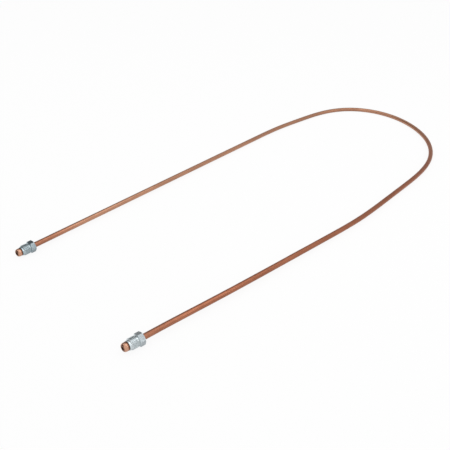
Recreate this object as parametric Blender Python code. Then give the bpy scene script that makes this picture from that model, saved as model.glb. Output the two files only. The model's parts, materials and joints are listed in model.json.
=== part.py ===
"""A copper brake pipe bent into a U, with a captive tube nut behind the bubble flare at each end.

Units are metres and +Z is up. The pipe's centreline is laid out flat, from its near tip to its far tip, by a
bending chart, and everything else is placed along that line: the flares are the last millimetres of the pipe
itself, the nuts sit behind them, and the finished line lies on its two nuts and on the back of its bend.
"""
import math

import bmesh
import bpy
import numpy as np
from mathutils import Matrix, Vector

# Pipe, three sixteenths of an inch across
TUBE_DIAMETER = 0.00476
TUBE_WALL = 0.0007

# Bending chart, from the near tip to the far tip. A set is a slight bow, straight again at both ends. Turns
# to the left are positive.
# The bend tightens on its way round: its radius is given where it starts, at its crown and where it ends.
NEAR_END_STRAIGHT = 0.0234
NEAR_TIP_SET_LENGTH = 0.031
NEAR_TIP_SET_ANGLE = -1.1
NEAR_LONG_SET_LENGTH = 0.098
NEAR_LONG_SET_ANGLE = 1.3
NEAR_STRAIGHT = 0.065
NEAR_SET_LENGTH = 0.102
NEAR_SET_ANGLE = 7.45
NEAR_LEG = 0.035
BEND_ENTRY = 0.086
BEND_FIRST_RADIUS = 0.144
BEND_FIRST_LENGTH = 0.101
BEND_CROWN_RADIUS = 0.129
BEND_SECOND_LENGTH = 0.095
BEND_LAST_RADIUS = 0.056
BEND_EXIT = 0.083
FAR_SET_LENGTH = 0.091
FAR_SET_ANGLE = 8.1
FAR_STRAIGHT = 0.3332

# Bubble flare, rolled from the pipe's own wall
FLARE_DIAMETER = 0.0071
FLARE_BODY_LENGTH = 0.0016
FLARE_NOSE_LENGTH = 0.0023
FLARE_SHOULDER_LENGTH = 0.0004
FLARE_LIP_DIAMETER = 0.0041
LIP_ROUND = 0.0002

# Tube nut, three eighths of an inch by 24 threads to the inch, and half an inch long
THREAD_DIAMETER = 0.0094
THREAD_LENGTH = 0.0057
THREAD_CHAMFER = 0.0005
PILOT_DIAMETER = 0.0078
PILOT_LENGTH = 0.0014
PILOT_CHAMFER = 0.0003
NECK_DIAMETER = 0.0078
NECK_LENGTH = 0.0011
HEX_ACROSS_FLATS = 0.00953
HEX_LENGTH = 0.0045
HEX_CHAMFER_ANGLE = 30.0
BORE_CHAMFER = 0.0004
SEAT_DIAMETER = 0.0066

# How far each nut is turned about the pipe from lying on a flat, in degrees
NEAR_NUT_TURN = 18.0
FAR_NUT_TURN = 0.0

# Clearances
BORE_CLEARANCE = 0.00015
SEAT_GAP = 0.0003

# How finely curves are faceted: a chord of the pipe strays this far from its arc at most
CHORD_SAG = 0.00005
LONGEST_CHORD = 0.040
TUBE_SIDES = 20
NUT_SIDES = 48
NOSE_STEPS = 6
LIP_STEPS = 3
LAYOUT_STEP = 0.0005
WELD_DISTANCE = 1e-7
PIPE_SMOOTHING_ANGLE = 50.0
NUT_SMOOTHING_ANGLE = 25.0

tube_radius = TUBE_DIAMETER / 2
bore_radius = tube_radius - TUBE_WALL
flare_radius = FLARE_DIAMETER / 2
flare_body_end = FLARE_NOSE_LENGTH + FLARE_BODY_LENGTH
flare_length = flare_body_end + FLARE_SHOULDER_LENGTH
shoulder_slope = FLARE_SHOULDER_LENGTH / (flare_radius - tube_radius)
nut_length = PILOT_LENGTH + THREAD_LENGTH + NECK_LENGTH + HEX_LENGTH
nut_bore_radius = tube_radius + BORE_CLEARANCE
hex_corner_radius = HEX_ACROSS_FLATS / 2 / math.cos(math.pi / 6)
nut_front = flare_length + SEAT_GAP - (SEAT_DIAMETER / 2 - tube_radius) * shoulder_slope
nut_rear = nut_front + nut_length


def clear_scene():
    for thing in list(bpy.data.objects):
        bpy.data.objects.remove(thing, do_unlink=True)


def metal(name, colour, roughness):
    """A Principled surface for one kind of bare or plated metal."""
    made = bpy.data.materials.new(name)
    made.use_nodes = True
    shader = made.node_tree.nodes["Principled BSDF"]
    shader.inputs["Base Color"].default_value = (*colour, 1.0)
    shader.inputs["Roughness"].default_value = roughness
    shader.inputs["Metallic"].default_value = 1.0
    return made


def add_object(name, mesh, parent=None):
    thing = bpy.data.objects.new(name, mesh)
    bpy.context.collection.objects.link(thing)
    thing.parent = parent
    return thing


def finished_mesh(bm, name):
    """Turns the faces outwards and hands the shape over as a mesh."""
    bmesh.ops.recalc_face_normals(bm, faces=bm.faces)
    mesh = bpy.data.meshes.new(name)
    bm.to_mesh(mesh)
    bm.free()
    return mesh


def gentle_set(length, degrees):
    """A bow that starts and ends straight, turns by this angle and is tightest at its middle."""
    return [(length / 2, math.radians(degrees) * 2 / length), (length / 2, 0.0)]


def bending_chart():
    """Each stretch's length and the curvature at its end. Curvature changes evenly along a stretch."""
    return [
        (NEAR_END_STRAIGHT, 0.0),
        *gentle_set(NEAR_TIP_SET_LENGTH, NEAR_TIP_SET_ANGLE),
        *gentle_set(NEAR_LONG_SET_LENGTH, NEAR_LONG_SET_ANGLE),
        (NEAR_STRAIGHT, 0.0),
        *gentle_set(NEAR_SET_LENGTH, NEAR_SET_ANGLE),
        (NEAR_LEG, 0.0),
        (BEND_ENTRY, 1 / BEND_FIRST_RADIUS),
        (BEND_FIRST_LENGTH, 1 / BEND_CROWN_RADIUS),
        (BEND_SECOND_LENGTH, 1 / BEND_LAST_RADIUS),
        (BEND_EXIT, 0.0),
        *gentle_set(FAR_SET_LENGTH, FAR_SET_ANGLE),
        (FAR_STRAIGHT, 0.0),
    ]


class Centreline:
    """The pipe's centreline in its own flat plane, turned so that the U opens towards -X."""

    def __init__(self, chart):
        self.ends = np.cumsum([0.0] + [length for length, _ in chart])
        self.curvatures = np.array([0.0] + [curvature for _, curvature in chart])
        self.length = float(self.ends[-1])
        self.distance = np.linspace(0.0, self.length, int(round(self.length / LAYOUT_STEP)) + 1)
        step = self.distance[1]
        curvature = np.interp(self.distance, self.ends, self.curvatures)
        turned_by = np.concatenate([[0.0], np.cumsum((curvature[1:] + curvature[:-1]) / 2 * step)])
        self.heading = turned_by - (turned_by[-1] - math.pi) / 2
        middle = (self.heading[1:] + self.heading[:-1]) / 2
        self.x = np.concatenate([[0.0], np.cumsum(np.cos(middle) * step)])
        self.y = np.concatenate([[0.0], np.cumsum(np.sin(middle) * step)])

    def point(self, distance):
        x = np.interp(distance, self.distance, self.x)
        y = np.interp(distance, self.distance, self.y)
        return Vector((x, y, 0.0))

    def direction(self, distance):
        angle = np.interp(distance, self.distance, self.heading)
        return Vector((math.cos(angle), math.sin(angle), 0.0))

    def place(self, distance, along=1):
        """A frame on the line: local +Z runs along it, or back along it where along is -1, and +Y is up."""
        forward = self.direction(distance) * along
        up = Vector((0.0, 0.0, 1.0))
        turn = Matrix((up.cross(forward), up, forward)).transposed()
        return Matrix.Translation(self.point(distance)) @ turn.to_4x4()

    def stations(self, start, end):
        """Distances between these two to put a ring at, closer together where the line is bent harder."""
        places = []
        for a, b, tight_a, tight_b in zip(self.ends, self.ends[1:], self.curvatures, self.curvatures[1:]):
            low, high = max(a, start), min(b, end)
            tightest = max(abs(tight_a), abs(tight_b), 8 * CHORD_SAG / LONGEST_CHORD ** 2)
            parts = math.ceil((high - low) / math.sqrt(8 * CHORD_SAG / tightest))
            places += [low + (high - low) * i / parts for i in range(parts)]
        return places[1:]


def bubble(start, mouth, widest):
    """A quarter ellipse from the flare's mouth to its widest ring, as (distance from the tip, radius)."""
    steps = [math.pi / 2 * i / NOSE_STEPS for i in range(NOSE_STEPS + 1)]
    reach = FLARE_NOSE_LENGTH - start
    return [(FLARE_NOSE_LENGTH - reach * math.cos(a), mouth + (widest - mouth) * math.sin(a)) for a in steps]


def flare_outside():
    """The flare from its lip over the bubble and down its shoulder to the plain pipe."""
    return bubble(0.0, FLARE_LIP_DIAMETER / 2, flare_radius) + [
        (flare_body_end, flare_radius), (flare_length, tube_radius)]


def flare_inside():
    """The same wall from inside: round the lip, out into the hollow bubble and back to the bore."""
    widest = flare_radius - TUBE_WALL
    steps = [math.pi / 2 * i / LIP_STEPS for i in range(LIP_STEPS + 1)]
    lip = [(LIP_ROUND * (1 - math.cos(a)), bore_radius + LIP_ROUND * (1 - math.sin(a))) for a in steps]
    return lip + bubble(TUBE_WALL, bore_radius, widest) + [
        (flare_body_end - TUBE_WALL / 2, widest), (flare_length, bore_radius)]


def wall(line, flare, radius):
    """One side of the pipe's wall from tip to tip: a flare, the plain tube and the other flare."""
    plain = line.stations(flare_length, line.length - flare_length)
    return flare + [(distance, radius) for distance in plain] + [
        (line.length - distance, swell) for distance, swell in reversed(flare)]


def pipe_mesh(line):
    """The whole pipe as one closed skin: along the outside, over the far lip and back through the bore.

    A flat grid has one row of squares for each ring of the pipe and one column for each of its sides. It is
    rolled up onto the rings, and its edges, which then meet, are welded.
    """
    rings = wall(line, flare_outside(), tube_radius) + wall(line, flare_inside(), bore_radius)[::-1]
    places = [line.place(distance) for distance, _ in rings]
    bm = bmesh.new()
    bmesh.ops.create_grid(bm, x_segments=TUBE_SIDES, y_segments=len(rings), size=1.0)
    for vert in bm.verts:
        side = round((vert.co.x + 1) / 2 * TUBE_SIDES) % TUBE_SIDES
        ring = round((vert.co.y + 1) / 2 * len(rings)) % len(rings)
        angle = math.tau * side / TUBE_SIDES
        vert.co = places[ring] @ (rings[ring][1] * Vector((math.cos(angle), math.sin(angle), 0.0)))
    bmesh.ops.remove_doubles(bm, verts=bm.verts, dist=WELD_DISTANCE)
    mesh = finished_mesh(bm, "brake_pipe")
    mesh.shade_smooth()
    mesh.set_sharp_from_angle(angle=math.radians(PIPE_SMOOTHING_ANGLE))
    return mesh


def turned(name, outline):
    """A solid turned about Z from an outline of (radius, height) that starts and ends on the axis."""
    bm = bmesh.new()
    points = [bm.verts.new((radius, 0.0, height)) for radius, height in outline]
    edges = [bm.edges.new(pair) for pair in zip(points, points[1:])]
    bmesh.ops.spin(bm, geom=points + edges, cent=(0, 0, 0), axis=(0, 0, 1), angle=math.tau,
                   steps=NUT_SIDES, use_merge=True)
    bmesh.ops.remove_doubles(bm, verts=bm.verts, dist=WELD_DISTANCE)
    return add_object(name, finished_mesh(bm, name))


def hexagon():
    """The nut's plain hexagonal bar, from its rear face at zero height up to the neck, a flat facing -Y."""
    bm = bmesh.new()
    place = Matrix.Translation((0, 0, HEX_LENGTH / 2)) @ Matrix.Rotation(math.pi / 6, 4, "Z")
    bmesh.ops.create_cone(bm, cap_ends=True, segments=6, radius1=hex_corner_radius,
                          radius2=hex_corner_radius, depth=HEX_LENGTH, matrix=place)
    return add_object("hexagon", finished_mesh(bm, "hexagon"))


def hex_chamfer():
    """The turned envelope that takes the corners off both ends of the hexagon."""
    flat = HEX_ACROSS_FLATS / 2
    depth = 2 * (hex_corner_radius - flat) * math.tan(math.radians(HEX_CHAMFER_ANGLE))
    wide = flat + depth / math.tan(math.radians(HEX_CHAMFER_ANGLE))
    return turned("hex_chamfer", [
        (0, 0), (flat, 0), (wide, depth), (wide, HEX_LENGTH - depth), (flat, HEX_LENGTH), (0, HEX_LENGTH)])


def nut_shank():
    """Neck, thread and pilot, starting inside the hexagon."""
    thread_start = HEX_LENGTH + NECK_LENGTH
    thread_end = thread_start + THREAD_LENGTH
    neck, thread, pilot = NECK_DIAMETER / 2, THREAD_DIAMETER / 2, PILOT_DIAMETER / 2
    return turned("nut_shank", [
        (0, HEX_LENGTH / 2), (neck, HEX_LENGTH / 2), (neck, thread_start),
        (thread, thread_start + THREAD_CHAMFER), (thread, thread_end - THREAD_CHAMFER),
        (pilot, thread_end), (pilot, nut_length - PILOT_CHAMFER), (pilot - PILOT_CHAMFER, nut_length),
        (0, nut_length)])


def nut_bore():
    """The hole that the pipe runs through, coned at the front to the slope of the flare's shoulder."""
    seat = SEAT_DIAMETER / 2
    seat_depth = (seat - nut_bore_radius) * shoulder_slope
    return turned("nut_bore", [
        (0, -BORE_CHAMFER), (nut_bore_radius + 2 * BORE_CHAMFER, -BORE_CHAMFER),
        (nut_bore_radius, BORE_CHAMFER), (nut_bore_radius, nut_length - seat_depth),
        (2 * seat - nut_bore_radius, nut_length + seat_depth), (0, nut_length + seat_depth)])


def nut_mesh():
    """The finished nut: hexagon with its corners off, shank joined on, bore cut through."""
    nut = hexagon()
    tools = [hex_chamfer(), nut_shank(), nut_bore()]
    for operation, tool in zip(("INTERSECT", "UNION", "DIFFERENCE"), tools):
        step = nut.modifiers.new(operation.title(), "BOOLEAN")
        step.operation = operation
        step.object = tool
    shaped = nut.evaluated_get(bpy.context.evaluated_depsgraph_get())
    mesh = bpy.data.meshes.new_from_object(shaped)
    mesh.name = "tube_nut"
    for spare in [nut] + tools:
        bpy.data.objects.remove(spare, do_unlink=True)
    mesh.shade_smooth()
    mesh.set_sharp_from_angle(angle=math.radians(NUT_SMOOTHING_ANGLE))
    mesh.materials.clear()
    return mesh


def nut_placed(line, distance, along, turn):
    """A nut's place on the pipe. Without a turn, it has a flat straight down."""
    return line.place(distance, along) @ Matrix.Rotation(math.radians(turn), 4, "Z")


def nut_reach(turn):
    """How far a turned nut's hexagon reaches straight down: a flat at no turn, a corner at thirty degrees."""
    return hex_corner_radius * math.cos(math.radians(abs(turn % 60.0 - 30.0)))


def laid_down(line):
    """The turn that lays the line on its two nuts and on the back of its bend."""
    near = line.point(nut_rear) - Vector((0, 0, nut_reach(NEAR_NUT_TURN)))
    far = line.point(line.length - nut_rear) - Vector((0, 0, nut_reach(FAR_NUT_TURN)))
    span = far - near
    reach = [abs((line.point(distance) - near).cross(span).z) for distance in line.distance]
    back = line.point(line.distance[int(np.argmax(reach))]) - Vector((0, 0, tube_radius))
    up = (back - near).cross(span).normalized()
    return up.rotation_difference(Vector((0, 0, 1))).to_matrix().to_4x4()


def world_corners(things):
    """The lowest and highest corners of these objects together, in world space."""
    bpy.context.view_layer.update()
    points = [thing.matrix_world @ vert.co for thing in things for vert in thing.data.vertices]
    low = Vector([min(point[i] for point in points) for i in range(3)])
    high = Vector([max(point[i] for point in points) for i in range(3)])
    return low, high


def build():
    clear_scene()
    line = Centreline(bending_chart())
    whole = add_object("brake_line", None)

    pipe = add_object("brake_pipe", pipe_mesh(line), whole)
    pipe.data.materials.append(metal("copper", (0.45, 0.21, 0.12), 0.30))

    nut_data = nut_mesh()
    nut_data.materials.append(metal("zinc_plate", (0.62, 0.65, 0.67), 0.32))
    near_nut = add_object("near_nut", nut_data, whole)
    near_nut.matrix_local = nut_placed(line, nut_rear, -1, NEAR_NUT_TURN)
    far_nut = add_object("far_nut", nut_data, whole)
    far_nut.matrix_local = nut_placed(line, line.length - nut_rear, 1, FAR_NUT_TURN)

    whole.matrix_world = laid_down(line)
    low, high = world_corners([pipe, near_nut, far_nut])
    middle = (low + high) / 2
    whole.matrix_world = Matrix.Translation((-middle.x, -middle.y, -low.z)) @ whole.matrix_world
    bpy.context.view_layer.update()


build()
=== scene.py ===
# %% [markdown]
# A copper brake pipe lies on a white table. It is bent into a wide U, and each end carries a plated steel tube nut
# that is held captive by a flare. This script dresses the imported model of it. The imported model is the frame: it
# says where each piece sits and how the nuts turn, and nothing here moves it. What we add is fineness. The pipe
# becomes truly round, the nuts get the thread that a machinist would cut, and every surface gets its own metal.

# %% Load the frame and note its size
import json
import math

import bmesh
import bpy
from mathutils import Matrix, Vector


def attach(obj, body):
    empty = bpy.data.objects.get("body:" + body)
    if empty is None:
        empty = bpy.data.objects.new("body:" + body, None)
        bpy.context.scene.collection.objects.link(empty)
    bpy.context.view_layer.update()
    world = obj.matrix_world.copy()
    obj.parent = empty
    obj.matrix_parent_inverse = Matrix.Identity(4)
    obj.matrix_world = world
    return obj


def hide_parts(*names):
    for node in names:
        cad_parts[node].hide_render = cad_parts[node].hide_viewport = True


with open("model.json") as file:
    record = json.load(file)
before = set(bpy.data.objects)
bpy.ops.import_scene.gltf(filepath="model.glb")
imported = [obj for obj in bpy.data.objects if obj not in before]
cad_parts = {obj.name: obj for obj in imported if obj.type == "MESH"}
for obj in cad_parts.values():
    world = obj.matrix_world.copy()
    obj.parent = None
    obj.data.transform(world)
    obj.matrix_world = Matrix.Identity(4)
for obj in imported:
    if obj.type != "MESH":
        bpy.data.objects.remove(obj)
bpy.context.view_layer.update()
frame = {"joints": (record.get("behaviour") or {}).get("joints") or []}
turns = {joint["child"]: joint for joint in frame["joints"]}

# %% [markdown]
# The camera comes before the pieces, so that every later look at them is from the photograph's place. It stands a
# little higher than the table, in front of the near nut, and looks along the diagonal of the U. A photographer's
# position can be worked out from a long round bar: the bar seems to get thinner exactly as it gets further away.

# %% Stand the camera where the photographer stood
CAMERA_PLACE = (-0.42975, -0.35252, 0.30248)
CAMERA_HEADING = math.radians(44.954)
CAMERA_PITCH = math.radians(32.152)
CAMERA_ROLL = math.radians(-0.073)
PHOTO_PIXELS = 450
LENS_IN_PIXELS = 593.4
SENSOR_WIDTH_MM = 36.0

camera = bpy.data.objects.new("camera", bpy.data.cameras.new("camera"))
bpy.context.scene.collection.objects.link(camera)
camera.location = CAMERA_PLACE
camera.rotation_euler = (math.pi / 2 - CAMERA_PITCH, CAMERA_ROLL, CAMERA_HEADING - math.pi / 2)
camera.data.sensor_width = SENSOR_WIDTH_MM
camera.data.lens = LENS_IN_PIXELS * SENSOR_WIDTH_MM / PHOTO_PIXELS
camera.data.clip_start = 0.01
bpy.context.scene.camera = camera
print("the lens is", round(camera.data.lens, 2), "mm")

# %% [markdown]
# Brake pipe is bought straight and bent on a machine that follows a bending chart: so much pipe forward, then so
# much curve. The chart below is this pipe's own. Each entry gives a stretch of pipe and how tightly it is curved at
# its end, and from one entry to the next the curvature changes evenly, as it does where pipe springs back a little
# after a bend. A Bezier curve drawn by hand would do for a hose, but it would wander away from the solid that the
# nuts sit on. Adding up small steps of the chart gives the same line as the frame's, as finely as we like.

# %% Lay out the pipe's centreline from its bending chart
NEAR_END_STRAIGHT = 0.0234
NEAR_TIP_SET = (0.031, -1.1)
NEAR_LONG_SET = (0.098, 1.3)
NEAR_STRAIGHT = 0.065
NEAR_SET = (0.102, 7.45)
NEAR_LEG = 0.035
BEND = [(0.086, 1 / 0.144), (0.101, 1 / 0.129), (0.095, 1 / 0.056), (0.083, 0.0)]
FAR_SET = (0.091, 8.1)
FAR_STRAIGHT = 0.3332
LAYOUT_STEP = 0.0005


def slight_set(length, degrees):
    """A bow that is tightest at its middle and straight again at its end."""
    return [(length / 2, math.radians(degrees) * 2 / length), (length / 2, 0.0)]


chart = [(NEAR_END_STRAIGHT, 0.0), *slight_set(*NEAR_TIP_SET), *slight_set(*NEAR_LONG_SET), (NEAR_STRAIGHT, 0.0),
         *slight_set(*NEAR_SET), (NEAR_LEG, 0.0), *BEND, *slight_set(*FAR_SET), (FAR_STRAIGHT, 0.0)]
pipe_length = sum(length for length, _ in chart)


def curvature_at(distance):
    """How tightly the pipe is curved at this distance from its near tip, in turns of one radian a metre."""
    start_curvature = 0.0
    for length, end_curvature in chart:
        if distance <= length:
            return start_curvature + (end_curvature - start_curvature) * distance / length
        distance -= length
        start_curvature = end_curvature
    return start_curvature


steps = round(pipe_length / LAYOUT_STEP)
step = pipe_length / steps
headings, flat_line = [0.0], [Vector((0.0, 0.0, 0.0))]
for index in range(steps):
    turned = (curvature_at(index * step) + curvature_at((index + 1) * step)) / 2 * step
    middle = headings[-1] + turned / 2
    flat_line.append(flat_line[-1] + step * Vector((math.cos(middle), math.sin(middle), 0.0)))
    headings.append(headings[-1] + turned)
print("the pipe was", round(pipe_length, 4), "m long before it was bent through",
      round(math.degrees(headings[-1]), 1), "degrees")

# %% [markdown]
# The line is laid out flat, and the frame knows where it really lies. Each nut's joint is a point on the pipe and
# the direction of the pipe there, and a nut sits a known way from the tip: past the flare, then its own length.
# Two such points and the plane that the pipe was bent in fix the whole line, so no place is typed in by hand. The
# print says how well the far nut fits, which is the test that the chart and the frame are the same pipe.

# %% Lay the centreline where the frame's pipe lies
TUBE_RADIUS = 0.00238
FLARE_RADIUS = 0.00355
FLARE_NOSE = 0.0023
FLARE_BODY = 0.0016
FLARE_SHOULDER = 0.0004
SEAT_RADIUS = 0.0033
SEAT_GAP = 0.0003
NUT_LENGTH = 0.0127

flare_length = FLARE_NOSE + FLARE_BODY + FLARE_SHOULDER
shoulder_slope = FLARE_SHOULDER / (FLARE_RADIUS - TUBE_RADIUS)
seat_reach = (SEAT_RADIUS - TUBE_RADIUS) * shoulder_slope
nut_rear = flare_length + SEAT_GAP - seat_reach + NUT_LENGTH


def on_line(distance, values):
    """The value between two layout steps, for a point or a heading."""
    place = min(max(distance / step, 0.0), steps - 1e-6)
    index = int(place)
    return values[index] + (values[index + 1] - values[index]) * (place - index)


def facing(forward, sideways):
    """A turn whose local X runs forward and whose local Z stands on the plane of the two directions."""
    x = forward.normalized()
    z = x.cross(sideways).normalized()
    return Matrix((x, z.cross(x), z)).transposed().to_4x4()


near_place, far_place = (Vector(turns[nut]["pos_m"]) for nut in ("near_nut", "far_nut"))
flat_near, flat_far = on_line(nut_rear, flat_line), on_line(pipe_length - nut_rear, flat_line)
first_heading = on_line(nut_rear, headings)
flat_ahead = Vector((math.cos(first_heading), math.sin(first_heading), 0.0))
frame_ahead = -Vector(turns["near_nut"]["axis"])
laid = facing(far_place - near_place, -frame_ahead) @ facing(flat_far - flat_near, -flat_ahead).inverted()
lay_down = Matrix.Translation(near_place) @ laid @ Matrix.Translation(-flat_near)
print("the far nut fits to", round((lay_down @ flat_far - far_place).length * 1e6, 2), "micrometres")


def place_on_pipe(distance, backwards=False):
    """A place on the pipe: local Z runs along it, or back along it, and local Y stands up from its plane."""
    heading = on_line(distance, headings)
    forward = Vector((math.cos(heading), math.sin(heading), 0.0)) * (-1 if backwards else 1)
    up = Vector((0.0, 0.0, 1.0))
    turn = Matrix((up.cross(forward), up, forward)).transposed().to_4x4()
    return lay_down @ Matrix.Translation(on_line(distance, flat_line)) @ turn


# %% [markdown]
# The pipe is one piece of copper from mouth to mouth: outer skin, lip, bubble and bore are a single closed surface.
# A curve with a bevel would give the round skin, but not the bore and not the flares. So we write the wall's
# outline once, as distance from the tip and radius, and roll a flat grid up around it. One row of the grid is one
# ring of the pipe and one column is one of its sides. The grid's edges meet when it is rolled, and are welded.
# While it is rolled, each point also remembers where it was on the straight pipe. Drawing marks were made when the
# pipe was straight, so the copper's pattern is laid out on that memory and follows every bend.

# %% Write the outline of the pipe's wall
TUBE_WALL = 0.0007
LIP_RADIUS = 0.00205
LIP_ROUND = 0.0002
SHOULDER_ROUND = 0.00012
NOSE_STEPS = 16
ROUND_STEPS = 6

bore_radius = TUBE_RADIUS - TUBE_WALL
flare_body_end = FLARE_NOSE + FLARE_BODY


def quarter(steps_taken):
    """The angles of a quarter turn."""
    return [math.pi / 2 * index / steps_taken for index in range(steps_taken + 1)]


def bubble(start, mouth, widest):
    """A quarter ellipse from the flare's mouth to its widest ring."""
    reach = FLARE_NOSE - start
    return [(FLARE_NOSE - reach * math.cos(a), mouth + (widest - mouth) * math.sin(a)) for a in quarter(NOSE_STEPS)]


def rounded_corner(before, corner, after, size):
    """Points that take the sharpness off one corner of an outline."""
    corner = Vector(corner)
    start = corner + (Vector(before) - corner).normalized() * size
    end = corner + (Vector(after) - corner).normalized() * size
    shares = [index / ROUND_STEPS for index in range(ROUND_STEPS + 1)]
    return [tuple((1 - s) ** 2 * start + 2 * s * (1 - s) * corner + s ** 2 * end) for s in shares]


def flare_outside():
    """Over the bubble, round its back edge and down the shoulder to the plain pipe."""
    widest_ring = (flare_body_end, FLARE_RADIUS)
    foot = (flare_length, TUBE_RADIUS)
    return (bubble(0.0, LIP_RADIUS, FLARE_RADIUS)
            + rounded_corner((FLARE_NOSE, FLARE_RADIUS), widest_ring, foot, SHOULDER_ROUND) + [foot])


def flare_inside():
    """Round the lip, out into the hollow bubble and back to the bore."""
    widest = FLARE_RADIUS - TUBE_WALL
    lip = [(LIP_ROUND * (1 - math.cos(a)), bore_radius + LIP_ROUND * (1 - math.sin(a))) for a in quarter(ROUND_STEPS)]
    return lip + bubble(TUBE_WALL, bore_radius, widest) + [
        (flare_body_end - TUBE_WALL / 2, widest), (flare_length, bore_radius)]


def plain_rings(sag=0.000004, longest=0.008):
    """Where the plain pipe's rings go: closer together where it is bent harder."""
    distance, found = flare_length, []
    while distance < pipe_length - flare_length - longest:
        tightest = max(abs(curvature_at(place)) for place in (distance, distance + longest))
        tightest = max(tightest, 8 * sag / longest ** 2)
        distance += math.sqrt(8 * sag / tightest)
        found.append(distance)
    return found


def wall_side(flare, radius):
    """One side of the wall from tip to tip."""
    plain = [(distance, radius) for distance in plain_rings()]
    return flare + plain + [(pipe_length - distance, swell) for distance, swell in reversed(flare)]


pipe_rings = wall_side(flare_outside(), TUBE_RADIUS) + wall_side(flare_inside(), bore_radius)[::-1]
print("the wall's outline has", len(pipe_rings), "rings")

# %% Roll the pipe up from a flat grid
PIPE_SIDES = 48
WELD_DISTANCE = 1e-7


def piece_from(bm, name):
    """Turns a bmesh into an object, which keeps its place in its mesh."""
    mesh = bpy.data.meshes.new(name)
    bm.to_mesh(mesh)
    bm.free()
    piece = bpy.data.objects.new(name, mesh)
    bpy.context.scene.collection.objects.link(piece)
    return piece


def triangles_in(piece):
    return sum(len(face.vertices) - 2 for face in piece.data.polygons)


def copper_pipe():
    bm = bmesh.new()
    rows = len(pipe_rings)
    bmesh.ops.create_grid(bm, x_segments=PIPE_SIDES, y_segments=rows, size=1.0)
    straight = bm.verts.layers.float_vector.new("on_straight_pipe")
    from_tip = bm.verts.layers.float.new("from_tip")
    places = [place_on_pipe(distance) for distance, _ in pipe_rings]
    for vert in bm.verts:
        side = round((vert.co.x + 1) / 2 * PIPE_SIDES) % PIPE_SIDES
        row = round((vert.co.y + 1) / 2 * rows) % rows
        distance, radius = pipe_rings[row]
        angle = math.tau * side / PIPE_SIDES
        spoke = Vector((radius * math.cos(angle), radius * math.sin(angle), 0.0))
        vert.co = places[row] @ spoke
        vert[straight] = Vector((spoke.x, spoke.y, distance))
        vert[from_tip] = min(distance, pipe_length - distance)
    bmesh.ops.remove_doubles(bm, verts=bm.verts, dist=WELD_DISTANCE)
    bmesh.ops.recalc_face_normals(bm, faces=bm.faces)
    return piece_from(bm, "copper_pipe")


pipe = copper_pipe()
pipe.data.shade_smooth()
print("the pipe has", triangles_in(pipe), "triangles")

# %% [markdown]
# A tube nut starts as hexagonal bar. The lathe turns its corners to a chamfer at both ends, turns the shank down,
# cuts a neck behind the hexagon so that the threading die can run out, and drills it for the pipe. We follow the
# same order. Each operation is a small solid of its own: the bar, the chamfer that keeps only what lies inside it,
# the shank, the thread, and the drill. Modelling the result in one go would leave us to work out where a cone
# cuts six flats, and the Boolean modifier does that exactly.

# %% Saw off a piece of hexagonal bar
HEX_FLAT = 0.004765
HEX_LENGTH = 0.0045
BAR_EDGE_ROUND = 0.00012

hex_corner = HEX_FLAT / math.cos(math.pi / 6)


def hexagonal_bar():
    """The bar stands on its rear face with a flat towards -Y, and its long edges are slightly round."""
    bm = bmesh.new()
    upright = Matrix.Translation((0, 0, HEX_LENGTH / 2)) @ Matrix.Rotation(math.pi / 6, 4, "Z")
    bmesh.ops.create_cone(bm, cap_ends=True, segments=6, radius1=hex_corner, radius2=hex_corner,
                          depth=HEX_LENGTH, matrix=upright)
    long_edges = [edge for edge in bm.edges if abs(edge.verts[0].co.z - edge.verts[1].co.z) > HEX_LENGTH / 2]
    bmesh.ops.bevel(bm, geom=long_edges, offset=BAR_EDGE_ROUND, segments=3, profile=0.5, affect="EDGES", material=-1)
    bmesh.ops.recalc_face_normals(bm, faces=bm.faces)
    return piece_from(bm, "hexagonal_bar")


# %% [markdown]
# Everything on the lathe is round, so it is one outline spun about the nut's axis. The outline is written as radius
# and height above the nut's rear face. Sharp edges are rounded in the outline, before it is spun, because a rounded
# edge is what catches the light on real turned steel.

# %% Turn the round shapes on the lathe
NUT_SIDES = 96


def turned(name, outline, first_degrees):
    """A closed solid, spun from an outline that starts and ends on the axis. Each solid starts at an angle of its
    own, because two that share their edges' places leave slivers where a Boolean joins them."""
    first = math.radians(first_degrees)
    bm = bmesh.new()
    points = [bm.verts.new((radius * math.cos(first), radius * math.sin(first), height)) for radius, height in outline]
    edges = [bm.edges.new(pair) for pair in zip(points, points[1:])]
    bmesh.ops.spin(bm, geom=points + edges, cent=(0, 0, 0), axis=(0, 0, 1), angle=math.tau,
                   steps=NUT_SIDES, use_merge=True)
    bmesh.ops.remove_doubles(bm, verts=bm.verts, dist=WELD_DISTANCE)
    bmesh.ops.recalc_face_normals(bm, faces=bm.faces)
    return piece_from(bm, name)


HEX_CHAMFER_ANGLE = math.radians(30)
CHAMFER_EDGE_ROUND = 0.0001


def hex_chamfer():
    """The envelope that takes the corners off both ends of the bar."""
    depth = 2 * (hex_corner - HEX_FLAT) * math.tan(HEX_CHAMFER_ANGLE)
    wide = HEX_FLAT + depth / math.tan(HEX_CHAMFER_ANGLE)
    rear = rounded_corner((0, 0), (HEX_FLAT, 0), (wide, depth), CHAMFER_EDGE_ROUND)
    front = [(radius, HEX_LENGTH - height) for radius, height in reversed(rear)]
    outline = [(0, 0), *rear, (wide, depth), (wide, HEX_LENGTH - depth), *front, (0, HEX_LENGTH)]
    return turned("hex_chamfer", outline, first_degrees=0.0)


NECK_RADIUS = 0.0039
NECK_LENGTH = 0.0011
THREAD_LENGTH = 0.0057
THREAD_RADIUS = 0.0047
THREAD_CHAMFER = 0.0005
PILOT_RADIUS = 0.0039
PILOT_ROUND = 0.0003
PITCH = 0.0254 / 24
THREAD_DEPTH = 0.45 * PITCH

thread_start = HEX_LENGTH + NECK_LENGTH
thread_end = thread_start + THREAD_LENGTH
root_radius = THREAD_RADIUS - THREAD_DEPTH


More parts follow.
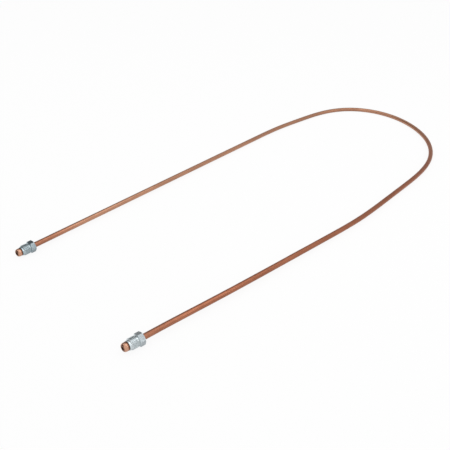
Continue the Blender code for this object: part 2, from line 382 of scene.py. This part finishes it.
def shank():
    """Neck, the core under the thread and the plain pilot in front of it."""
    front = rounded_corner((PILOT_RADIUS, thread_end), (PILOT_RADIUS, NUT_LENGTH), (0, NUT_LENGTH), PILOT_ROUND)
    foot = HEX_LENGTH - HEX_LENGTH / 3
    core = root_radius - 0.0001
    return turned("shank", [(0, foot), (NECK_RADIUS, foot), (NECK_RADIUS, thread_start + THREAD_CHAMFER),
                            (core, thread_start + THREAD_CHAMFER), (core, thread_end - THREAD_CHAMFER),
                            (PILOT_RADIUS, thread_end - THREAD_CHAMFER), *front, (0, NUT_LENGTH)], first_degrees=1.3)


# %% [markdown]
# A thread is a ridge that climbs as it goes round. Spin can climb too: given a small step along the axis, it winds
# one tooth's outline into a helix, and because the outline is exactly one pitch tall, the foot of each turn lands on
# the head of the one before it. That gives an endless screw. Two planes cut it to length, its ends are closed, and a
# turned envelope then gives it the lead-in chamfers that let a real nut start in its port. The ridges hardly show in
# the photograph, so they are cut a little shallower than the standard's.

# %% Cut the thread
THREAD_STEPS = 72
CREST_WIDTH = 0.32 * PITCH
ROOT_WIDTH = 0.22 * PITCH
LEAD_IN = 0.7


def screw_rod():
    """The thread, wound over more than its length and then cut off flat at both ends."""
    flank = (PITCH - CREST_WIDTH - ROOT_WIDTH) / 2
    tooth = [(root_radius, 0.0), (root_radius, ROOT_WIDTH / 2),
             *rounded_corner((root_radius, ROOT_WIDTH / 2), (THREAD_RADIUS, ROOT_WIDTH / 2 + flank),
                             (THREAD_RADIUS, PITCH / 2), CREST_WIDTH / 2),
             *rounded_corner((THREAD_RADIUS, PITCH / 2), (THREAD_RADIUS, ROOT_WIDTH / 2 + flank + CREST_WIDTH),
                             (root_radius, PITCH - ROOT_WIDTH / 2), CREST_WIDTH / 2)[1:],
             (root_radius, PITCH - ROOT_WIDTH / 2), (root_radius, PITCH)]
    turns_wound = math.ceil(THREAD_LENGTH / PITCH) + 3
    bm = bmesh.new()
    points = [bm.verts.new((radius, 0.0, height + thread_start - 2 * PITCH)) for radius, height in tooth]
    edges = [bm.edges.new(pair) for pair in zip(points, points[1:])]
    bmesh.ops.spin(bm, geom=points + edges, cent=(0, 0, 0), axis=(0, 0, 1), dvec=(0, 0, PITCH / THREAD_STEPS),
                   angle=math.tau * turns_wound, steps=THREAD_STEPS * turns_wound)
    bmesh.ops.remove_doubles(bm, verts=bm.verts, dist=1e-6)
    for height, below, above in ((thread_start - PITCH / 3, True, False), (thread_end + PITCH / 3, False, True)):
        bmesh.ops.bisect_plane(bm, geom=bm.verts[:] + bm.edges[:] + bm.faces[:], dist=1e-8,
                               plane_co=(0, 0, height), plane_no=(0, 0, 1), clear_inner=below, clear_outer=above)
    bmesh.ops.holes_fill(bm, edges=[edge for edge in bm.edges if edge.is_boundary], sides=0)
    bmesh.ops.recalc_face_normals(bm, faces=bm.faces)
    return piece_from(bm, "screw_rod")


def thread_envelope():
    """A cylinder with the thread's two chamfers, which run on a little way into the neck and the pilot."""
    wide = THREAD_RADIUS + THREAD_CHAMFER
    rear = thread_start + (THREAD_RADIUS - NECK_RADIUS) * LEAD_IN
    front = thread_end - (THREAD_RADIUS - PILOT_RADIUS) * LEAD_IN
    run_on = 0.0002
    return turned("thread_envelope", [
        (0, thread_start - run_on * LEAD_IN), (NECK_RADIUS - run_on, thread_start - run_on * LEAD_IN),
        (THREAD_RADIUS, rear), (wide, rear), (wide, front), (THREAD_RADIUS, front),
        (PILOT_RADIUS - run_on, thread_end + run_on * LEAD_IN), (0, thread_end + run_on * LEAD_IN)], first_degrees=2.3)


# %% [markdown]
# The drill goes right through for the pipe. At the front its mouth opens into a cone with the slope of the flare's
# shoulder, because that is the face that presses the flare home, and at the back a small countersink takes the
# burr off.

# %% Drill the nut for the pipe
BORE_CLEARANCE = 0.00015
BORE_CHAMFER = 0.0004

nut_bore_radius = TUBE_RADIUS + BORE_CLEARANCE


def drill():
    cone = (SEAT_RADIUS - nut_bore_radius) * shoulder_slope
    return turned("drill", [
        (0, -BORE_CHAMFER), (nut_bore_radius + 2 * BORE_CHAMFER, -BORE_CHAMFER), (nut_bore_radius, BORE_CHAMFER),
        (nut_bore_radius, NUT_LENGTH - cone), (2 * SEAT_RADIUS - nut_bore_radius, NUT_LENGTH + cone),
        (0, NUT_LENGTH + cone)], first_degrees=0.6)


# %% [markdown]
# The operations are now put together by Booleans, in the lathe's order, and the finished nut is copied to both ends.
# A loose nut stops wherever it is left: in the photograph the near one is turned 18 degrees from lying on a flat of
# its hexagon, and the far one lies on a flat. Before a nut is moved to its place it remembers where each point was
# on the lathe, so that its marks can be laid out there.

# %% Put the operations together
SHARP_ANGLE = math.radians(32)


def shaped(blank, operations):
    """The mesh that is left when each solid has kept, joined or cut the blank."""
    for operation, tool in operations:
        cut = blank.modifiers.new(operation, "BOOLEAN")
        cut.operation, cut.object, cut.solver = operation, tool, "EXACT"
    mesh = bpy.data.meshes.new_from_object(blank.evaluated_get(bpy.context.evaluated_depsgraph_get()))
    for spent in [blank] + [tool for _, tool in operations]:
        bpy.data.objects.remove(spent, do_unlink=True)
    return mesh


def tube_nut_mesh():
    thread = bpy.data.objects.new("thread", shaped(screw_rod(), [("INTERSECT", thread_envelope())]))
    bpy.context.scene.collection.objects.link(thread)
    return shaped(hexagonal_bar(), [("INTERSECT", hex_chamfer()), ("UNION", shank()), ("UNION", thread),
                                    ("DIFFERENCE", drill())])


def tube_nut(name, distance, backwards, turn):
    """One nut, copied from the turned one, slid to its place behind a flare and turned about the pipe."""
    piece = bpy.data.objects.new(name, nut_pattern.copy())
    bpy.context.scene.collection.objects.link(piece)
    mesh = piece.data
    memory = mesh.attributes.new("on_lathe", "FLOAT_VECTOR", "POINT")
    for index, vert in enumerate(mesh.vertices):
        memory.data[index].vector = vert.co
    mesh.transform(place_on_pipe(distance, backwards) @ Matrix.Rotation(math.radians(turn), 4, "Z"))
    mesh.shade_smooth()
    mesh.set_sharp_from_angle(angle=SHARP_ANGLE)
    return piece


NEAR_NUT_TURN = 18.0
FAR_NUT_TURN = 0.0

nut_pattern = tube_nut_mesh()
near_nut = tube_nut("near_tube_nut", nut_rear, True, NEAR_NUT_TURN)
far_nut = tube_nut("far_tube_nut", pipe_length - nut_rear, False, FAR_NUT_TURN)
print("a nut has", triangles_in(near_nut), "triangles")

# %% [markdown]
# Now the pieces are handed to the frame. Each one rides on its body, so a nut turns when its joint turns. Each one
# stands for the imported solid that it replaces.

# %% Hang the pieces on the frame
for piece, body, node, slot in ((pipe, "pipe", "brake_pipe", "copper"), (near_nut, "near_nut", "near_nut", "zinc_plate"),
                                (far_nut, "far_nut", "far_nut", "zinc_plate")):
    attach(piece, body)
    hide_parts(node)
print("the nuts turn on", sorted(turns))

# %% [markdown]
# Materials are built from nodes. These few helpers add a node, join two sockets and make the patterns that both
# metals need, so that each material below reads as a list of what happened to that surface.

# %% Helpers for the metals


class Finish:
    """A metal under construction: its node tree and its shader."""

    def __init__(self, name):
        self.material = bpy.data.materials.new(name)
        self.material.use_nodes = True
        self.tree = self.material.node_tree
        self.shader = self.tree.nodes["Principled BSDF"]

    def node(self, kind, **settings):
        made = self.tree.nodes.new(kind)
        for name, value in settings.items():
            setattr(made, name, value)
        return made

    def join(self, output, socket):
        self.tree.links.new(output, socket)

    def remembered(self, attribute):
        return self.node("ShaderNodeAttribute", attribute_name=attribute)

    def stretched(self, vector, scale, detail=3.0, roughness=0.55, name="pattern"):
        """Noise whose grains are one over the scale long in each direction."""
        mapping = self.node("ShaderNodeMapping", vector_type="POINT")
        mapping.inputs["Scale"].default_value = scale
        self.join(vector, mapping.inputs["Vector"])
        noise = self.node("ShaderNodeTexNoise", label=name)
        noise.inputs["Scale"].default_value = 1.0
        noise.inputs["Detail"].default_value = detail
        noise.inputs["Roughness"].default_value = roughness
        self.join(mapping.outputs["Vector"], noise.inputs["Vector"])
        return noise.outputs["Fac"]

    def ranged(self, value, low, high, to_low=0.0, to_high=1.0, smooth=True):
        ranged = self.node("ShaderNodeMapRange", interpolation_type="SMOOTHSTEP" if smooth else "LINEAR")
        self.join(value, ranged.inputs["Value"])
        for socket, number in (("From Min", low), ("From Max", high), ("To Min", to_low), ("To Max", to_high)):
            ranged.inputs[socket].default_value = number
        return ranged.outputs["Result"]

    def sum_of(self, *terms):
        """Adds values that are each multiplied by a number."""
        total = None
        for value, weight in terms:
            scaled = self.node("ShaderNodeMath", operation="MULTIPLY_ADD")
            self.join(value, scaled.inputs[0])
            scaled.inputs[1].default_value = weight
            if total is None:
                scaled.inputs[2].default_value = 0.0
            else:
                self.join(total, scaled.inputs[2])
            total = scaled.outputs["Value"]
        return total

    def radius_of(self, place):
        """How far a remembered place is from its axis."""
        flattened = self.node("ShaderNodeVectorMath", operation="MULTIPLY")
        self.join(place, flattened.inputs[0])
        flattened.inputs[1].default_value = (1.0, 1.0, 0.0)
        length = self.node("ShaderNodeVectorMath", operation="LENGTH")
        self.join(flattened.outputs["Vector"], length.inputs[0])
        return length.outputs["Value"]

    def product(self, a, b):
        times = self.node("ShaderNodeMath", operation="MULTIPLY")
        self.join(a, times.inputs[0])
        self.join(b, times.inputs[1])
        return times.outputs["Value"]

    def tinted(self, share, colour, other, blend="MIX"):
        """Mixes two colours, either of which may be a socket."""
        mix = self.node("ShaderNodeMix", data_type="RGBA", blend_type=blend, clamp_factor=True)
        self.join(share, mix.inputs["Factor"])
        for socket, value in ((mix.inputs[6], colour), (mix.inputs[7], other)):
            if isinstance(value, tuple):
                socket.default_value = (*value, 1.0)
            else:
                self.join(value, socket)
        return mix.outputs[2]

    def bumped(self, height, depth):
        bump = self.node("ShaderNodeBump")
        bump.inputs["Strength"].default_value = 1.0
        bump.inputs["Distance"].default_value = depth
        self.join(height, bump.inputs["Height"])
        self.join(bump.outputs["Normal"], self.shader.inputs["Normal"])


# %% [markdown]
# New copper pipe is drawn through a die, which leaves very fine lines along it. In store it dulls unevenly to a
# pinkish brown. One colour would look like plastic, because metal shows its colour only through what it reflects.
# So the material is a metal with a middling roughness, and several patterns lie over one another: drawing lines
# that are long and thin, slow changes of tarnish, and small finger marks. Shade and light are painted into the
# colour along the pipe as well: painted shade as a brown tint on the near leg and the far end, a duller stretch with
# painted shade where the bend runs out, and a smoother one with painted light on the far leg. The flares were
# squeezed between polished dies after the pipe was drawn, so they are smoother and brighter, and shade is painted
# round their mouths and in the corner behind them.

# %% Finish the copper
COPPER_CLEAN = (0.53, 0.275, 0.175)
COPPER_DULL = (0.40, 0.205, 0.130)
COPPER_PRESSED = (0.59, 0.325, 0.22)
# Painted shade and light along the pipe: a brown tint that darkens the near leg and the far end, a duller stretch with
# painted shade at the bend's run-out, and a smoother stretch with painted light on the far leg.
PAINTED_SHADE_TINT = (0.78, 0.58, 0.52)
NEAR_LEG_SHADE_STRETCH = ((-0.10, 0.08), (0.42, 0.56))
DULL_SHADED_STRETCH = ((0.612, 0.64), (0.71, 0.76))
PAINTED_LIGHT_STRETCH = ((0.93, 1.02), (1.06, 1.10))
FAR_END_SHADE_REACH = (0.08, 0.03)
# Painted shade on the flares: round their mouths, weaker inside the bore, and in the corner in front of the nut.
FLARE_PAINTED_SHADE = (0.36, 0.27, 0.23)
MOUTH_SHADE_REACH = (0.0031, 0.0024)
BORE_SHADE_FADE = (0.0021, 0.0018)
NUT_SHADE_REACH = (0.0025, 0.0037)


def pressed_end(metal, from_tip):
    """One on the flare, and nothing on the plain pipe behind it."""
    return metal.ranged(from_tip, flare_length + 0.0002, flare_length)


def stretch_of(metal, along, rises, falls):
    """One on a stretch of the pipe, fading out before and after it."""
    return metal.product(metal.ranged(along, *rises), metal.ranged(along, *falls, 1.0, 0.0))


def copper_finish():
    metal = Finish("drawn_copper")
    memory = metal.remembered("on_straight_pipe").outputs["Vector"]
    from_tip = metal.remembered("from_tip").outputs["Fac"]
    lines = metal.stretched(memory, (2600.0, 2600.0, 14.0), detail=4.0, name="drawing lines")
    tarnish = metal.stretched(memory, (110.0, 110.0, 26.0), detail=3.0, name="tarnish")
    smudges = metal.stretched(memory, (420.0, 420.0, 160.0), detail=4.0, name="finger marks")
    apart = metal.node("ShaderNodeSeparateXYZ")
    metal.join(memory, apart.inputs["Vector"])
    along = apart.outputs["Z"]
    # Real tarnish, finger marks and lines, plus painted shade at the bend's run-out and painted light on the far leg.
    dullness_and_painted_shading = metal.sum_of((metal.ranged(tarnish, 0.38, 0.62), 0.45), (metal.ranged(smudges, 0.42, 0.62), 0.20),
                            (metal.ranged(lines, 0.35, 0.65), 0.35),
                            (stretch_of(metal, along, *DULL_SHADED_STRETCH), 0.55),
                            (stretch_of(metal, along, *PAINTED_LIGHT_STRETCH), -0.35))
    # Painted shade on the near leg and at the far end.
    near_leg_painted_shade = stretch_of(metal, along, *NEAR_LEG_SHADE_STRETCH)
    far_end_painted_shade = metal.ranged(along, *(pipe_length - distance for distance in FAR_END_SHADE_REACH))
    painted_pipe_shade = metal.sum_of((near_leg_painted_shade, 1.0), (far_end_painted_shade, 0.7))
    colour = metal.tinted(painted_pipe_shade, metal.tinted(dullness_and_painted_shading, COPPER_CLEAN, COPPER_DULL), PAINTED_SHADE_TINT, "MULTIPLY")
    pressed = metal.ranged(from_tip, flare_length, FLARE_NOSE, 0.0, 1.0)
    # Painted shade round the flare's mouth and in the corner behind the flare.
    radius = metal.radius_of(memory)
    shade_at_mouth = metal.product(metal.ranged(radius, *MOUTH_SHADE_REACH), metal.ranged(radius, *BORE_SHADE_FADE, 1.0, 0.3))
    shade_at_nut = metal.ranged(from_tip, *NUT_SHADE_REACH)
    painted_flare_shade = metal.product(pressed_end(metal, from_tip), metal.sum_of((shade_at_mouth, 1.0), (shade_at_nut, 0.8)))
    pressed_colour = metal.tinted(pressed, colour, COPPER_PRESSED)
    metal.join(metal.tinted(painted_flare_shade, pressed_colour, FLARE_PAINTED_SHADE, "MULTIPLY"), metal.shader.inputs["Base Color"])
    metal.shader.inputs["Metallic"].default_value = 1.0
    rough = metal.sum_of((dullness_and_painted_shading, 0.12), (pressed, -0.16), (metal.ranged(smudges, 0.3, 0.7, 0.30, 0.38), 1.0))
    metal.join(rough, metal.shader.inputs["Roughness"])
    metal.bumped(metal.sum_of((lines, 1.0), (smudges, 0.5)), 0.000006)
    return metal.material


pipe.data.materials.append(copper_finish())
print("the pipe is finished in", pipe.data.materials[0].name)

# %% [markdown]
# The nuts are free-cutting steel with a thin bright zinc plate. The plate is bluish white, a little cloudy, and it
# follows every tool mark beneath it. The far nut in the photograph is darker and bluer than the near one, so one
# recipe makes both from two sets of shades. The flats keep the straight lines of the drawn bar and are a little
# duller, and everything else has the rings of the lathe. The two kinds of mark come from one remembered place: rings
# depend only on the height and the radius, and bar lines hardly on the height at all. A little oil stays in the
# roots of the thread and greys them.

# %% Finish the zinc plate
NEAR_ZINC = {"clean": (0.665, 0.725, 0.75), "clouded": (0.54, 0.595, 0.61)}
FAR_ZINC = {"clean": (0.47, 0.555, 0.585), "clouded": (0.36, 0.435, 0.465)}
THREAD_RESIDUE = (0.46, 0.48, 0.48)
BAR_DULLNESS = (0.68, 0.69, 0.70)


def mark_bar_faces(piece):
    """Remembers which faces are still the drawn bar, so that they get straight lines."""
    memory = piece.data.attributes["on_lathe"].data
    bar = piece.data.attributes.new("drawn_bar", "FLOAT", "FACE")
    for face in piece.data.polygons:
        corners = [memory[index].vector for index in face.vertices]
        normal = (corners[1] - corners[0]).cross(corners[2] - corners[0]).normalized()
        reach = abs(normal.dot(corners[0]))
        bar.data[face.index].value = 1.0 if abs(normal.z) < 0.01 and abs(reach - HEX_FLAT) < 1e-6 else 0.0
    return sum(1 for item in bar.data if item.value)


def zinc_finish(name, clean, clouded):
    metal = Finish(name)
    memory = metal.remembered("on_lathe").outputs["Vector"]
    bar = metal.remembered("drawn_bar").outputs["Fac"]
    apart = metal.node("ShaderNodeSeparateXYZ")
    metal.join(memory, apart.inputs["Vector"])
    radius = metal.radius_of(memory)
    ring = metal.node("ShaderNodeCombineXYZ")
    metal.join(radius, ring.inputs["X"])
    metal.join(apart.outputs["Z"], ring.inputs["Z"])
    rings = metal.stretched(ring.outputs["Vector"], (5200.0, 1.0, 5200.0), detail=2.0, name="lathe rings")
    bar_lines = metal.stretched(memory, (3800.0, 3800.0, 120.0), detail=3.0, name="bar lines")
    clouds = metal.stretched(memory, (520.0, 520.0, 520.0), detail=4.0, name="clouding")
    marks = metal.node("ShaderNodeMix", data_type="FLOAT")
    metal.join(bar, marks.inputs["Factor"])
    metal.join(rings, marks.inputs[2])
    metal.join(bar_lines, marks.inputs[3])
    marks = marks.outputs[0]
    cloudiness = metal.sum_of((metal.ranged(clouds, 0.38, 0.66), 0.7), (metal.ranged(marks, 0.35, 0.7), 0.3))
    plate = metal.tinted(bar, metal.tinted(cloudiness, clean, clouded), BAR_DULLNESS, "MULTIPLY")
    deep = metal.ranged(radius, THREAD_RADIUS - 0.3 * THREAD_DEPTH, root_radius, 0.0, 1.0)
    behind = metal.ranged(apart.outputs["Z"], HEX_LENGTH, HEX_LENGTH + 0.0003, 0.0, 1.0)
    ahead = metal.ranged(apart.outputs["Z"], thread_end, thread_end - 0.0003, 0.0, 1.0)
    residue = metal.product(metal.product(deep, behind), metal.product(ahead, metal.ranged(clouds, 0.3, 0.6, 0.2, 0.5)))
    metal.join(metal.tinted(residue, plate, THREAD_RESIDUE), metal.shader.inputs["Base Color"])
    metal.shader.inputs["Metallic"].default_value = 1.0
    rough = metal.sum_of((metal.ranged(clouds, 0.3, 0.7, 0.16, 0.27), 1.0), (residue, 0.1), (bar, 0.12))
    metal.join(rough, metal.shader.inputs["Roughness"])
    metal.bumped(metal.sum_of((marks, 1.0), (clouds, 0.6)), 0.000008)
    return metal.material


for nut, name, shades in ((near_nut, "bright_zinc", NEAR_ZINC), (far_nut, "darker_zinc", FAR_ZINC)):
    nut.data.materials.append(zinc_finish(name, **shades))
    print(nut.name, "keeps the drawn bar on", mark_bar_faces(nut), "faces")

# %% [markdown]
# The studio is a white table under a soft white sky. Metal is a mirror, so the studio is shaped for what it shows
# in the metal. The sky is brighter on the camera's side and dimmer behind the line. The soft box over the legs gives
# the soft stripe along them, the one in front lights the two ends, and the one behind lights the far leg's back. Two
# dark cards stand outside the picture, as a photographer sets black paper beside bright metal on a white table: they
# draw the dark upper edges of the nuts and of the pipe beside them. Only mirrored rays see the cards, so they shade
# nothing. The table is plain and pale. It glows a little where the camera looks at it, which makes it read as white
# paper, and it still keeps the shadow.

# %% Set up the table, the sky, the lamps and the cards
TABLE_SIZE = 6.0
TABLE_COLOUR = (0.90, 0.90, 0.90)
TABLE_GLOW = 0.90
GLOSSY_SHARE = 0.55
SKY_BRIGHT = 1.0
SKY_DIM = 0.55
BRIGHT_SIDE = (-0.5, -0.5, 0.5)

scene = bpy.context.scene
scene.view_settings.view_transform = "Standard"


def white_table():
    bm = bmesh.new()
    bmesh.ops.create_grid(bm, x_segments=1, y_segments=1, size=TABLE_SIZE / 2)
    table = piece_from(bm, "table")
    paper = bpy.data.materials.new("white_paper")
    paper.use_nodes = True
    tree = paper.node_tree
    tree.nodes.clear()
    add, link = tree.nodes.new, tree.links.new
    diffuse, glow, mix = add("ShaderNodeBsdfDiffuse"), add("ShaderNodeEmission"), add("ShaderNodeMixShader")
    path, either, either_too = add("ShaderNodeLightPath"), add("ShaderNodeMath"), add("ShaderNodeMath")
    mirrored, share, output = add("ShaderNodeMath"), add("ShaderNodeMath"), add("ShaderNodeOutputMaterial")
    diffuse.inputs["Color"].default_value = (*TABLE_COLOUR, 1.0)
    glow.inputs["Strength"].default_value = 1.0
    either.operation = either_too.operation = "MAXIMUM"
    link(path.outputs["Is Glossy Ray"], either.inputs[0])
    link(path.outputs["Is Transmission Ray"], either.inputs[1])
    link(either.outputs["Value"], mirrored.inputs[0])
    mirrored.inputs[1].default_value = GLOSSY_SHARE
    link(path.outputs["Is Camera Ray"], either_too.inputs[0])
    link(mirrored.outputs["Value"], either_too.inputs[1])
    share.operation = mirrored.operation = "MULTIPLY"
    share.inputs[1].default_value = TABLE_GLOW
    link(either_too.outputs["Value"], share.inputs[0])
    link(share.outputs["Value"], mix.inputs["Fac"])
    link(diffuse.outputs["BSDF"], mix.inputs[1])
    link(glow.outputs["Emission"], mix.inputs[2])
    link(mix.outputs["Shader"], output.inputs["Surface"])
    table.data.materials.append(paper)
    return table


def soft_sky():
    sky = bpy.data.worlds.new("soft_sky")
    scene.world = sky
    sky.use_nodes = True
    tree = sky.node_tree
    tree.nodes.clear()
    add, link = tree.nodes.new, tree.links.new
    direction, towards, rise = add("ShaderNodeTexCoord"), add("ShaderNodeVectorMath"), add("ShaderNodeMapRange")
    path, seen, dome = add("ShaderNodeLightPath"), add("ShaderNodeBackground"), add("ShaderNodeBackground")
    mix, output = add("ShaderNodeMixShader"), add("ShaderNodeOutputWorld")
    towards.operation = "DOT_PRODUCT"
    link(direction.outputs["Generated"], towards.inputs[0])
    towards.inputs[1].default_value = BRIGHT_SIDE
    link(towards.outputs["Value"], rise.inputs["Value"])
    rise.interpolation_type = "SMOOTHSTEP"
    for socket, number in (("From Min", -0.4), ("From Max", 0.6), ("To Min", SKY_DIM), ("To Max", SKY_BRIGHT)):
        rise.inputs[socket].default_value = number
    link(rise.outputs["Result"], dome.inputs["Strength"])
    seen.inputs["Strength"].default_value = 1.0
    for background in (seen, dome):
        background.inputs["Color"].default_value = (1.0, 1.0, 1.0, 1.0)
    link(path.outputs["Is Camera Ray"], mix.inputs["Fac"])
    link(dome.outputs["Background"], mix.inputs[1])
    link(seen.outputs["Background"], mix.inputs[2])
    link(mix.outputs["Shader"], output.inputs["Surface"])


def broad_lamp(name, place, aim, size, radiance):
    """A soft box that faces a point and looks this bright from anywhere in front of it."""
    lamp = bpy.data.objects.new(name, bpy.data.lights.new(name, "AREA"))
    bpy.context.scene.collection.objects.link(lamp)
    lamp.location = place
    lamp.rotation_euler = (Vector(aim) - Vector(place)).to_track_quat("-Z", "Y").to_euler()
    lamp.data.shape = "RECTANGLE"
    lamp.data.size, lamp.data.size_y = size
    lamp.data.energy = radiance * math.pi * size[0] * size[1]
    return lamp


def dark_card(name, middle, turn, size, shade):
    """An upright card outside the picture, which shows only where the metal mirrors it."""
    bm = bmesh.new()
    upright = Matrix.Rotation(math.radians(turn), 4, "Z") @ Matrix.Rotation(math.pi / 2, 4, "X")
    stretch = Matrix.Diagonal((size[0], size[1], 1.0, 1.0))
    bmesh.ops.create_grid(bm, x_segments=1, y_segments=1, size=0.5, matrix=Matrix.Translation(middle) @ upright @ stretch)
    card = piece_from(bm, name)
    paper = bpy.data.materials.new(name)
    paper.use_nodes = True
    paper.node_tree.nodes["Principled BSDF"].inputs["Base Color"].default_value = (shade, shade, shade, 1.0)
    paper.node_tree.nodes["Principled BSDF"].inputs["Roughness"].default_value = 1.0
    card.data.materials.append(paper)
    card.visible_camera = card.visible_diffuse = card.visible_shadow = False


white_table()
soft_sky()
broad_lamp("lamp_over_the_legs", (0.11, -0.20, 0.75), (-0.03, -0.05, 0.0), (0.58, 0.45), 1.0)
broad_lamp("lamp_in_front_of_the_ends", (0.25, -0.95, 0.65), (-0.20, 0.0, 0.0), (0.35, 0.20), 2.2)
broad_lamp("lamp_behind_the_far_leg", (-0.20, 0.50, 0.75), (0.15, 0.05, 0.0), (0.4, 0.4), 0.6)
dark_card("card_behind_the_far_end", (-0.08, 0.60, 0.42), 0.0, (0.72, 0.42), 0.02)
dark_card("card_left_of_the_ends", (-0.50, 0.21, 0.20), 90.0, (0.52, 0.35), 0.03)
print("the stage is set")
